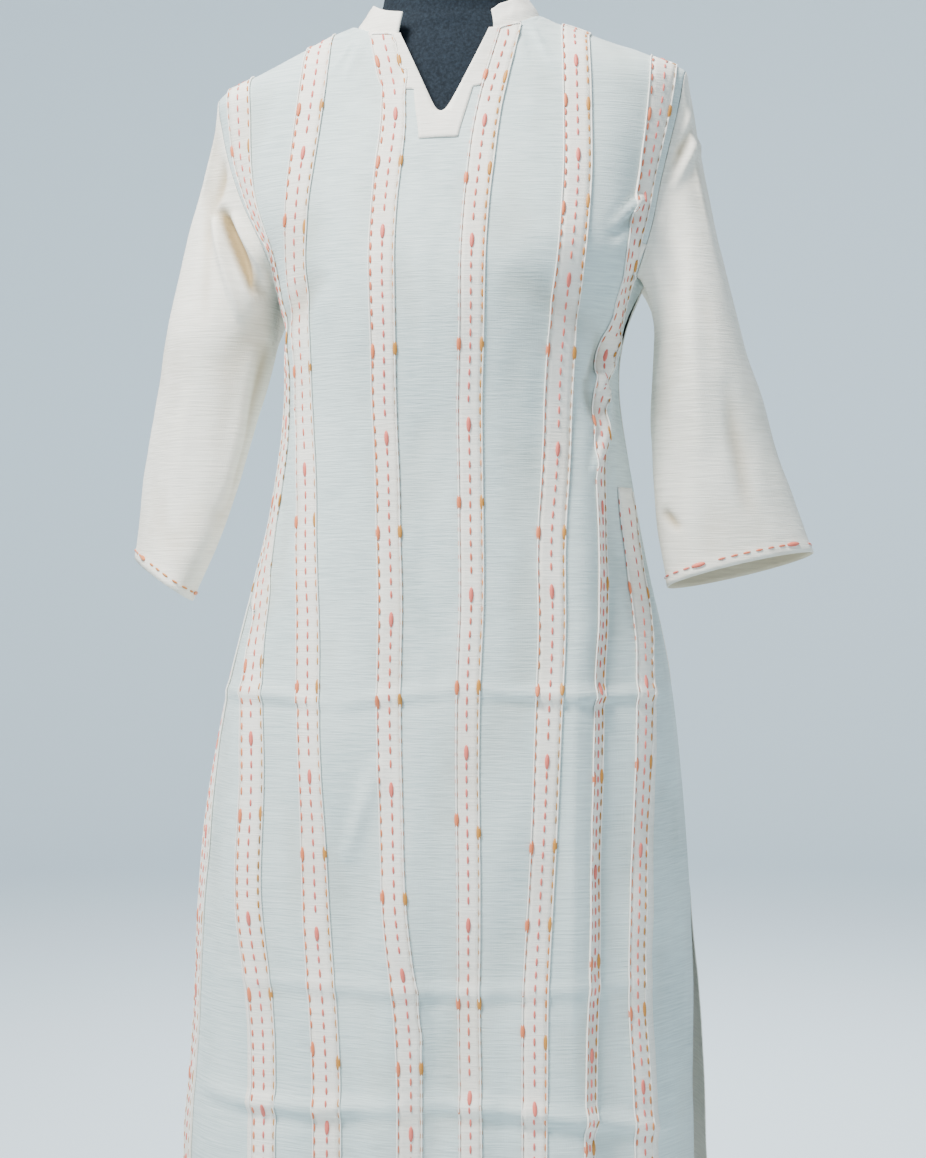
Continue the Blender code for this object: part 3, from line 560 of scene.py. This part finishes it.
def thread(name):
    """Stitching thread whose colour changes along its row, from the tint kept on its points."""
    made, shader = new_finish(name, 0.55)
    tree = made.node_tree
    shader.inputs["Sheen Weight"].default_value = 0.2
    tint = add(tree, "ShaderNodeAttribute", attribute_name="tint")
    ramp = add(tree, "ShaderNodeValToRGB")
    stops = (
        (0.0, (0.74, 0.15, 0.12)), (0.3, (0.68, 0.15, 0.07)), (0.5, (0.74, 0.20, 0.06)),
        (0.75, (0.50, 0.21, 0.02)), (1.0, (0.20, 0.12, 0.05)),
    )
    ramp.color_ramp.elements.remove(ramp.color_ramp.elements[1])
    for k, (place, colour) in enumerate(stops):
        stop = ramp.color_ramp.elements[0] if k == 0 else ramp.color_ramp.elements.new(place)
        stop.position = place
        stop.color = (*colour, 1.0)
    join(tree, tint, "Fac", ramp, "Fac")
    join(tree, ramp, "Color", shader, "Base Color")
    bumped(tree, shader, grain(tree, {"Scale": 2600.0, "Detail": 1.0}), "Fac", 0.4, 0.0002)
    return made


def piping(name, colour):
    """Tightly spun off-white cotton of the raised edges, lighter than the strips' cream as a painted
    highlight along them.
    """
    made, shader = new_finish(name, 0.8)
    tree = made.node_tree
    shader.inputs["Base Color"].default_value = (*colour, 1.0)
    shader.inputs["Sheen Weight"].default_value = 0.15
    bumped(tree, shader, grain(tree, {"Scale": 900.0, "Detail": 2.0}), "Fac", 0.4, 0.0003)
    return made


def jersey(name):
    """Fine dark jersey with paler specks."""
    made, shader = new_finish(name, 0.9)
    tree = made.node_tree
    shader.inputs["Specular IOR Level"].default_value = 0.2
    specks = grain(tree, {"Scale": 420.0, "Detail": 2.0, "Roughness": 0.7})
    ramp = add(tree, "ShaderNodeValToRGB")
    ramp.color_ramp.elements[0].position = 0.35
    ramp.color_ramp.elements[0].color = (0.005, 0.009, 0.014, 1.0)
    ramp.color_ramp.elements[1].position = 0.75
    ramp.color_ramp.elements[1].color = (0.016, 0.025, 0.036, 1.0)
    join(tree, specks, "Fac", ramp, "Fac")
    join(tree, ramp, "Color", shader, "Base Color")
    bumped(tree, shader, specks, "Fac", 0.3, 0.0005)
    return made


def steel(name):
    """Satin metal of the stand."""
    made, shader = new_finish(name, 0.34, metallic=1.0)
    tree = made.node_tree
    brushed = grain(tree, {"Scale": 60.0, "Detail": 4.0})
    ramp = add(tree, "ShaderNodeValToRGB")
    ramp.color_ramp.elements[0].color = (0.40, 0.40, 0.41, 1.0)
    ramp.color_ramp.elements[1].color = (0.50, 0.50, 0.51, 1.0)
    join(tree, brushed, "Fac", ramp, "Fac")
    join(tree, ramp, "Color", shader, "Base Color")
    rough = add(tree, "ShaderNodeMapRange", {"To Min": 0.28, "To Max": 0.42})
    join(tree, brushed, "Fac", rough, "Value")
    join(tree, rough, "Result", shader, "Roughness")
    return made


def plain(name, colour):
    """The stage's plain pale finish."""
    made, shader = new_finish(name, 0.95)
    shader.inputs["Base Color"].default_value = (*colour, 1.0)
    return made


WEAVE = handloom_group()
# The third colour of each cotton is the painted shade of its sunken creases.
MINT = cotton("mint cotton", (0.60, 0.69, 0.67), (0.43, 0.54, 0.54), (0.28, 0.27, 0.20), WEAVE)
BEIGE = cotton("beige cotton", (0.86, 0.83, 0.74), (0.74, 0.71, 0.61), (0.40, 0.29, 0.14), WEAVE)
# The sleeves' inner layer: a darker, warmer copy of the beige cotton, painted shade for their insides.
BEIGE_PAINTED_SHADE_INSIDE = cotton("beige cotton painted shade inside", (0.62, 0.55, 0.40), (0.56, 0.48, 0.34), (0.34, 0.25, 0.13), WEAVE)
CREAM = cotton("cream cotton", (0.86, 0.83, 0.75), (0.80, 0.77, 0.69), (0.42, 0.34, 0.22), WEAVE)
# The raised edges are lighter than the strips' cream: a painted highlight along them.
PIPING_PAINTED_HIGHLIGHT = piping("off-white piping painted highlight", (0.90, 0.88, 0.82))
THREAD = thread("stitching thread")
JERSEY = jersey("navy jersey")
STEEL = steel("satin steel")


def finish(made, material, slot, *nodes):
    """Give a piece its material, let it ride on the part and hide the solids that it stands for."""
    made.data.materials.clear()
    made.data.materials.append(material)
    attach(made, "root")
    if nodes:
        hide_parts(*nodes)
    return made


def thicken(made, thickness):
    """Give a layer its thickness, inwards from where it lies."""
    solid = made.modifiers.new("Thickness", "SOLIDIFY")
    solid.thickness = thickness
    solid.offset = -1.0
    solid.use_even_offset = True
    solid.use_rim = True
    return made


# The front and what is sewn on it.

STRIP_NODES = tuple(f"strip_{n}" for n in range(1, 9))
ON_FRONT = ("neck_facing",) + STRIP_NODES
FACING_MARK = 1
FACING_FILLS = 0.047
FACING_FILLS_FROM = 1.343


def mark_sewn(skin):
    """Mark the front's faces that lie under each sewn piece with the piece's place in ON_FRONT.

    Beside the slit's upper part the facing fills all that shows between the strips.
    """
    for mark, node in enumerate(ON_FRONT, 1):
        sewn = bmesh.new()
        sewn.from_mesh(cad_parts[node].data)
        tree = BVHTree.FromBMesh(sewn)
        sewn.free()
        for face in skin.faces:
            below = face.calc_center_median() - face.normal * UNDER_STRIP / 2
            if tree.ray_cast(below, face.normal, UNDER_STRIP * 1.5)[0] is not None:
                face.material_index = mark
    for face in skin.faces:
        middle = face.calc_center_median()
        if face.material_index == 0 and abs(middle.x) < FACING_FILLS and middle.z > FACING_FILLS_FROM:
            face.material_index = FACING_MARK


def lifted(front, mark, name):
    """A sewn piece: the front's faces with its mark, lifted off the front."""
    skin = bmesh.new()
    skin.from_mesh(front.data)
    normals = {vert.index: vert.normal.copy() for vert in skin.verts}
    others = [face for face in skin.faces if face.material_index != mark]
    for vert in skin.verts:
        vert.co += normals[vert.index] * (STRIP_LIFT + STRIP_CLOTH)
    bmesh.ops.delete(skin, geom=others, context="FACES")
    return placed(skin, name)


def rungs_of(node):
    """A strip's pairs of edge points from its foot to its top, left point first."""
    skin = outer_layer(node, axis_point(node))
    across = [edge for edge in skin.edges if len(edge.link_faces) == 2]
    ends = [edge for edge in skin.edges if len(edge.link_faces) == 1]
    ends.sort(key=lambda edge: edge.verts[0].co.z + edge.verts[1].co.z)
    across += [ends[0], ends[-1]]
    across.sort(key=lambda edge: edge.verts[0].co.z + edge.verts[1].co.z)
    rungs = []
    for edge in across:
        left, right = sorted((vert.co.copy() for vert in edge.verts), key=lambda point: point.x)
        rungs.append((left, right))
    skin.free()
    return rungs


def path_on(rungs, share, surface, step=0.004):
    """Points and normals along a strip at a share of its width, close together, on its surface."""
    coarse = [left.lerp(right, share) for left, right in rungs]
    path = []
    for k in range(len(coarse) - 1):
        before = coarse[max(k - 1, 0)]
        start, end = coarse[k], coarse[k + 1]
        after = coarse[min(k + 2, len(coarse) - 1)]
        count = max(1, round((end - start).length / step))
        for i in range(count):
            t = i / count
            bend = (
                start * 2 + (end - before) * t
                + (before * 2 - start * 5 + end * 4 - after) * t * t
                + (start * 3 - before - end * 3 + after) * t ** 3
            ) / 2
            place, normal, _, _ = surface.find_nearest(bend)
            path.append((place, normal))
    return path


def surface_of(made):
    """A search tree of a mesh object's faces."""
    skin = bmesh.new()
    skin.from_mesh(made.data)
    tree = BVHTree.FromBMesh(skin)
    skin.free()
    return tree


def ridges(name, paths):
    """Raised edges as thin tubes along paths."""
    outline = bpy.data.curves.new(name, "CURVE")
    outline.dimensions = "3D"
    outline.bevel_depth = RIDGE_RADIUS
    outline.bevel_resolution = 1
    outline.use_fill_caps = True
    for path in paths:
        spline = outline.splines.new("POLY")
        spline.points.add(len(path) - 1)
        for point, (place, normal) in zip(spline.points, path):
            point.co = (*(place + normal * RIDGE_RADIUS * RIDGE_OUT), 1.0)
    made = bpy.data.objects.new(name, outline)
    bpy.context.scene.collection.objects.link(made)
    bpy.context.view_layer.update()
    mesh = bpy.data.meshes.new_from_object(made.evaluated_get(bpy.context.evaluated_depsgraph_get()))
    bpy.data.objects.remove(made)
    tubes = bpy.data.objects.new(name, mesh)
    bpy.context.scene.collection.objects.link(tubes)
    mesh.shade_smooth()
    return tubes


def lay_stitch(skin, tint_layer, place, along, normal, size, tint):
    """One stitch: a small spindle that lies on the cloth, partly sunk in it."""
    long, wide, high = size
    side = normal.cross(along).normalized()
    up = along.cross(side).normalized()
    turn = Matrix((side, along, up)).transposed().to_4x4()
    scale = Matrix.Diagonal((wide / 2, long / 2, high / 2, 1.0))
    stood = Matrix.Rotation(pi / 2, 4, "X")
    where = Matrix.Translation(place + up * high * STITCH_OUT) @ turn @ scale @ stood
    made = bmesh.ops.create_uvsphere(
        skin, u_segments=STITCH_SIDES, v_segments=STITCH_RINGS, radius=1.0, matrix=where
    )
    for vert in made["verts"]:
        vert[tint_layer] = tint


def lengths_of(path):
    """How far along a path each of its points lies."""
    lengths = [0.0]
    for (a, _), (b, _) in zip(path, path[1:]):
        lengths.append(lengths[-1] + (b - a).length)
    return lengths


def lengths_at(path, heights):
    """How far along a rising path each height is reached."""
    lengths = lengths_of(path)
    found = []
    for height in heights:
        reached = [s for s, (place, _) in zip(lengths, path) if place.z >= height]
        if reached:
            found.append(reached[0])
    return found


def sew_row(skin, tint_layer, path, base_tint, lozenges, seed):
    """A row of running stitches along a path, with lozenges at the distances given."""
    lengths = lengths_of(path)
    waiting = sorted(lozenges)
    first = abs(noise.noise(Vector((seed, 0.5, 0.5))))
    s = STITCH_PITCH * (FIRST_STITCH + FIRST_VARIES * first)
    k = 0
    while s < lengths[-1] - STITCH_LONG:
        while lengths[k + 1] < s:
            k += 1
        share = (s - lengths[k]) / (lengths[k + 1] - lengths[k])
        place = path[k][0].lerp(path[k + 1][0], share)
        along = (path[k + 1][0] - path[k][0]).normalized()
        normal = path[k][1]
        drift = noise.noise(Vector((seed * DRIFT_SEED, s * DRIFT_RATE, 0.2)))
        wobble = noise.noise(Vector((seed, s * WOBBLE_RATE, 0.7)))
        tint = min(max(base_tint + TINT_DRIFT * drift + TINT_WOBBLE * wobble, 0.0), 1.0)
        size = (STITCH_LONG * (1 + LONG_WOBBLE * wobble), STITCH_WIDE, STITCH_HIGH)
        step = STITCH_PITCH * (1 + PITCH_WOBBLE * wobble)
        if waiting and s > waiting[0] - STITCH_PITCH / 2:
            waiting.pop(0)
            size = (LOZENGE_LONG, LOZENGE_WIDE, LOZENGE_HIGH)
            tint = base_tint
            step += LOZENGE_LONG / 2
            s += LOZENGE_LONG / 4
        lay_stitch(skin, tint_layer, place, along, normal, size, tint)
        s += step


def stitched(name, rows):
    """One object of stitches, from rows of path, tint, lozenge distances and seed."""
    skin = bmesh.new()
    tint_layer = skin.verts.layers.float.new("tint")
    for path, tint, lozenges, seed in rows:
        sew_row(skin, tint_layer, path, tint, lozenges, seed)
    return placed(skin, name)


# Heights of the lozenges on each strip: the two outer rows' pairs, and the middle row's.
LOZENGES = {
    "strip_1": ((0.95, 0.82, 0.68, 0.55, 0.42), (0.88, 0.75, 0.62, 0.48, 0.35)),
    "strip_2": ((1.31, 1.15, 1.02, 0.885, 0.765, 0.625, 0.48, 0.34), (1.08, 0.83, 0.685, 0.54, 0.40)),
    "strip_3": ((1.335, 1.245, 1.125, 1.005, 0.870, 0.745, 0.585, 0.45, 0.32),
                (1.30, 1.05, 0.80, 0.675, 0.525, 0.38)),
    "strip_4": ((1.375, 1.285, 1.14, 0.99, 0.856, 0.71, 0.58, 0.44, 0.31),
                (1.33, 1.23, 1.07, 0.93, 0.795, 0.655, 0.525, 0.37)),
    "strip_5": ((1.36, 1.275, 1.137, 1.017, 0.878, 0.765, 0.63, 0.49, 0.35),
                (1.32, 1.218, 1.077, 0.95, 0.823, 0.69, 0.56, 0.42)),
    "strip_6": ((1.33, 1.25, 1.13, 0.992, 0.874, 0.748, 0.69, 0.605, 0.46, 0.33),
                (1.37, 1.29, 1.187, 1.06, 0.943, 0.82, 0.55, 0.40)),
    "strip_7": ((1.33, 1.21, 1.08, 0.95, 0.80, 0.66, 0.52, 0.38),
                (1.27, 1.14, 1.01, 0.87, 0.73, 0.59, 0.45)),
    "strip_8": ((0.95, 0.81, 0.62, 0.50, 0.37), (0.88, 0.74, 0.56, 0.43)),
}
ROW_TINTS = (0.42, 0.06, 0.74)
CUFF_TINTS = {-1: 0.55, 1: 0.15}
CUFF_ROW_UP = 0.0078
CUFF_LOZENGE_EVERY = 0.078
CUFF_MIDDLE_UP = 0.1

# The lines that the cloth's maps go round, and the radius that turns an angle round them to metres.
BODY_TOP = Vector((0.0, 0.0, 1.4))
BODY_FOOT = Vector((0.0, 0.0, 0.2))
BODY_ROUND = 0.17
NECK_TOP = Vector((0.0, 0.0, 1.5))
NECK_FOOT = Vector((0.0, 0.0, 1.3))
NECK_ROUND = 0.075
SLEEVE_TOP = Vector((0.196, 0.0, 1.2))
SLEEVE_FOOT = Vector((0.242, 0.0, 0.96))
SLEEVE_ROUND = 0.045


def sew_strip(number, strip):
    """A strip's ridges and three rows of stitches."""
    node = f"strip_{number}"
    surface = surface_of(strip)
    rungs = rungs_of(node)
    edges = [path_on(rungs, share, surface) for share in (0.0, 1.0)]
    ridge = finish(ridges(f"ridges_{number}", edges), PIPING_PAINTED_HIGHLIGHT, "strip_cotton")
    pairs, middles = LOZENGES[node]
    rows = []
    for k, share in enumerate(ROW_SHARES):
        path = path_on(rungs, share, surface)
        places = lengths_at(path, middles if k == 1 else pairs)
        rows.append((path, ROW_TINTS[k], places, number * 7.3 + k * 2.1))
    sewing = finish(stitched(f"stitches_{number}", rows), THREAD, None)
    finish(strip, CREAM, "strip_cotton", node)
    thicken(strip, STRIP_CLOTH)


def build_front():
    """The front, its strips with their ridges and stitches, and the facing."""
    skin = outer_layer("front", axis_point("front"), FRONT_RIM_ANGLE)
    mark_sewn(skin)
    front = smoothed(skin, "front_cloth", 2)
    split_rows(front)
    main_creases(front, FRONT_CREASES, (), 1.0, SLIT_Z)
    hemmed(front, SLIT_Z, HEM_HIGH, SLIT_HEM_WIDE)
    map_cloth(front, BODY_TOP, BODY_FOOT, BODY_ROUND)
    sewn = {node: lifted(front, mark, f"{node}_cloth") for mark, node in enumerate(ON_FRONT, 1)}
    finish(front, MINT, "mint_cotton", "front")
    thicken(front, CLOTH)
    for number, node in enumerate(STRIP_NODES, 1):
        sew_strip(number, sewn[node])
    facing = finish(sewn["neck_facing"], CREAM, "strip_cotton", "neck_facing")
    thicken(facing, STRIP_CLOTH)


def build_back():
    """The plain back."""
    back = smoothed(outer_layer("back", axis_point("back")), "back_cloth", 2)
    split_rows(back)
    main_creases(back, (), BACK_CREASES, 2.0, SLIT_Z)
    hemmed(back, SLIT_Z, HEM_HIGH, SLIT_HEM_WIDE)
    map_cloth(back, BODY_TOP, BODY_FOOT, BODY_ROUND)
    finish(back, BEIGE, "cream_cotton", "back")
    thicken(back, CLOTH)


def cuff_path(sleeve, middle):
    """A path round a sleeve's cuff, a little above its edge, that starts at the front."""
    surface = surface_of(sleeve)
    edge = [point for point in open_edges(sleeve) if point.z < middle.z]
    edge.sort(key=lambda point: np.arctan2(point.x - middle.x, middle.y - point.y))
    path = []
    for point in edge + edge[:1]:
        place, normal, _, _ = surface.find_nearest(point + Vector((0, 0, CUFF_ROW_UP)))
        path.append((place, normal))
    return path


def build_sleeve(side, node, front_creases, back_creases):
    """A sleeve with its creases, cuff hem and row of stitches round the cuff."""
    low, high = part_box(node)
    sleeve = smoothed(outer_layer(node, (low + high) / 2), f"{node}_cloth", 2)
    split_rows(sleeve)
    main_creases(sleeve, front_creases, back_creases, 3.0 + side, (low.z + high.z) / 2)
    hemmed(sleeve, (low.z + high.z) / 2, CUFF_ROW_UP)
    mirror = Vector((side, 1.0, 1.0))
    map_cloth(sleeve, SLEEVE_TOP * mirror, SLEEVE_FOOT * mirror, SLEEVE_ROUND)
    edge = [point for point in open_edges(sleeve) if point.z < (low.z + high.z) / 2]
    path = cuff_path(sleeve, sum(edge, Vector()) / len(edge) + Vector((0, 0, CUFF_MIDDLE_UP)))
    count = int(lengths_of(path)[-1] / CUFF_LOZENGE_EVERY)
    lozenges = [CUFF_LOZENGE_EVERY * (k + 0.5) for k in range(count)]
    row = (path, CUFF_TINTS[side], lozenges, 91.0 + side)
    sewing = finish(stitched(f"{node}_stitches", [row]), THREAD, None)
    finish(sleeve, BEIGE, "cream_cotton", node)
    # The inner layer takes the darker, warmer copy of the beige cotton: painted shade inside the
    # sleeve.
    sleeve.data.materials.append(BEIGE_PAINTED_SHADE_INSIDE)
    thicken(sleeve, CLOTH).modifiers["Thickness"].material_offset = 1


def tuck_foot(made):
    """Carry a band's foot down inside the neckline that it is sewn to."""
    skin = bmesh.new()
    skin.from_mesh(made.data)
    feet = []
    for vert in skin.verts:
        around = [edge.other_vert(vert).co.z for edge in vert.link_edges]
        if vert.is_boundary and sum(around) / len(around) > vert.co.z + COLLAR_TUCK / 20:
            feet.append(vert.co.copy())
    nearest = nearest_of(feet)
    for vert in skin.verts:
        vert.co.z -= COLLAR_TUCK * (1 - eased(nearest.find(vert.co)[2], 0.0, COLLAR_TUCK * 3))
    skin.to_mesh(made.data)
    skin.free()


def build_collar():
    """The standing band round the neck, open at the front."""
    collar = smoothed(outer_layer("collar_band", axis_point("collar_band")), "collar_cloth", 3)
    tuck_foot(collar)
    main_creases(collar, COLLAR_CREASES, (), 4.0, 0.0)
    map_cloth(collar, NECK_TOP, NECK_FOOT, NECK_ROUND)
    finish(collar, CREAM, "strip_cotton", "collar_band")
    thicken(collar, COLLAR_CLOTH)


def build_form():
    """The dress form's jersey skin. The smoothing draws it in a little, clear of the cloth."""
    skin = bmesh.new()
    skin.from_mesh(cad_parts["form_torso"].data)
    bmesh.ops.remove_doubles(skin, verts=skin.verts, dist=MERGE)
    quads(skin)
    form = smoothed(skin, "form_jersey", 2)
    return finish(form, JERSEY, "navy_jersey", "form_torso")


def build_stand():
    """The stand's pole and base: their solids' form with smooth sides and a satin finish."""
    for node in ("stand_pole", "stand_base"):
        skin = bmesh.new()
        skin.from_mesh(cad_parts[node].data)
        bmesh.ops.remove_doubles(skin, verts=skin.verts, dist=MERGE)
        made = placed(skin, f"{node}_steel")
        made.data.set_sharp_from_angle(angle=RIM_ANGLE)
        finish(made, STEEL, "satin_steel", node)


# Stage, light and camera.

ROOM_RADIUS = 7.0
ROOM_CURVE = 1.5
ROOM_CURVE_STEPS = 8
ROOM_HIGH = 4.5
ROOM_SIDES = 64
CAMERA_TURN = radians(8.5)
CAMERA_AWAY = 1.8
CAMERA_HIGH = 0.96
CAMERA_ASIDE = 0.0092
CAMERA_LENS = 67.15


def build_stage():
    """A round floor that curves up into a wall all round, plain and pale."""
    skin = bmesh.new()
    flat = ROOM_RADIUS - ROOM_CURVE
    profile = [(0.0, 0.0), (flat, 0.0)]
    for k in range(1, ROOM_CURVE_STEPS + 1):
        turn = pi / 2 * k / ROOM_CURVE_STEPS
        profile.append((flat + ROOM_CURVE * sin(turn), ROOM_CURVE - ROOM_CURVE * cos(turn)))
    profile.append((ROOM_RADIUS, ROOM_HIGH))
    verts = [skin.verts.new((x, 0.0, z)) for x, z in profile]
    edges = [skin.edges.new(pair) for pair in zip(verts, verts[1:])]
    bmesh.ops.spin(
        skin, geom=verts + edges, cent=(0, 0, 0), axis=(0, 0, 1), angle=2 * pi, steps=ROOM_SIDES,
        use_merge=True
    )
    bmesh.ops.remove_doubles(skin, verts=skin.verts, dist=MERGE * 10)
    bmesh.ops.recalc_face_normals(skin, faces=skin.faces)
    floor = placed(skin, "floor")
    floor.data.materials.append(plain("pale floor", (0.72, 0.83, 0.89)))


def light(name, place, target, size, power, colour):
    """A round soft light at a place, turned to a target."""
    lamp = bpy.data.lights.new(name, "AREA")
    lamp.shape = "DISK"
    lamp.size = size
    lamp.energy = power
    lamp.color = colour
    made = bpy.data.objects.new(name, lamp)
    made.location = place
    made.rotation_mode = "QUATERNION"
    made.rotation_quaternion = (Vector(target) - Vector(place)).to_track_quat("-Z", "Y")
    bpy.context.scene.collection.objects.link(made)


def build_lights():
    """A key from above left, a fill, one on the wall, one from behind, and soft light all round."""
    light("key", (-0.85, -1.15, 3.1), (0, 0, 1.0), 0.8, 190, (1.0, 0.985, 0.955))
    light("fill", (2.4, -2.2, 1.6), (0, 0, 0.9), 2.4, 11, (0.93, 0.97, 1.0))
    light("wall", (0.0, 1.6, 2.9), (0, 5.5, 1.2), 2.4, 130, (0.93, 0.97, 1.0))
    light("rim", (0.5, 2.6, 2.8), (0, 0, 1.0), 2.0, 40, (1.0, 1.0, 1.0))
    world = bpy.data.worlds.new("soft light")
    bpy.context.scene.world = world
    world.use_nodes = True
    world.node_tree.nodes["Background"].inputs["Color"].default_value = (0.86, 0.92, 1.0, 1.0)
    world.node_tree.nodes["Background"].inputs["Strength"].default_value = 0.56


def build_camera():
    """The photograph's own view: level, a little to the right of the front."""
    camera = bpy.data.cameras.new("camera")
    camera.lens = CAMERA_LENS
    camera.sensor_width = 36.0
    camera.clip_end = 50.0
    made = bpy.data.objects.new("camera", camera)
    right = Vector((cos(CAMERA_TURN), sin(CAMERA_TURN), 0.0))
    away = Vector((sin(CAMERA_TURN), -cos(CAMERA_TURN), 0.0))
    made.location = away * CAMERA_AWAY + right * CAMERA_ASIDE + Vector((0, 0, CAMERA_HIGH))
    made.rotation_euler = (pi / 2, 0.0, CAMERA_TURN)
    bpy.context.scene.collection.objects.link(made)
    bpy.context.scene.camera = made


build_form()
build_front()
build_back()
build_sleeve(-1, "sleeve_left", LEFT_SLEEVE_CREASES, LEFT_SLEEVE_CREASES_BEHIND)
build_sleeve(1, "sleeve_right", RIGHT_SLEEVE_CREASES, RIGHT_SLEEVE_CREASES_BEHIND)
build_collar()
build_stand()
build_stage()
build_lights()
build_camera()
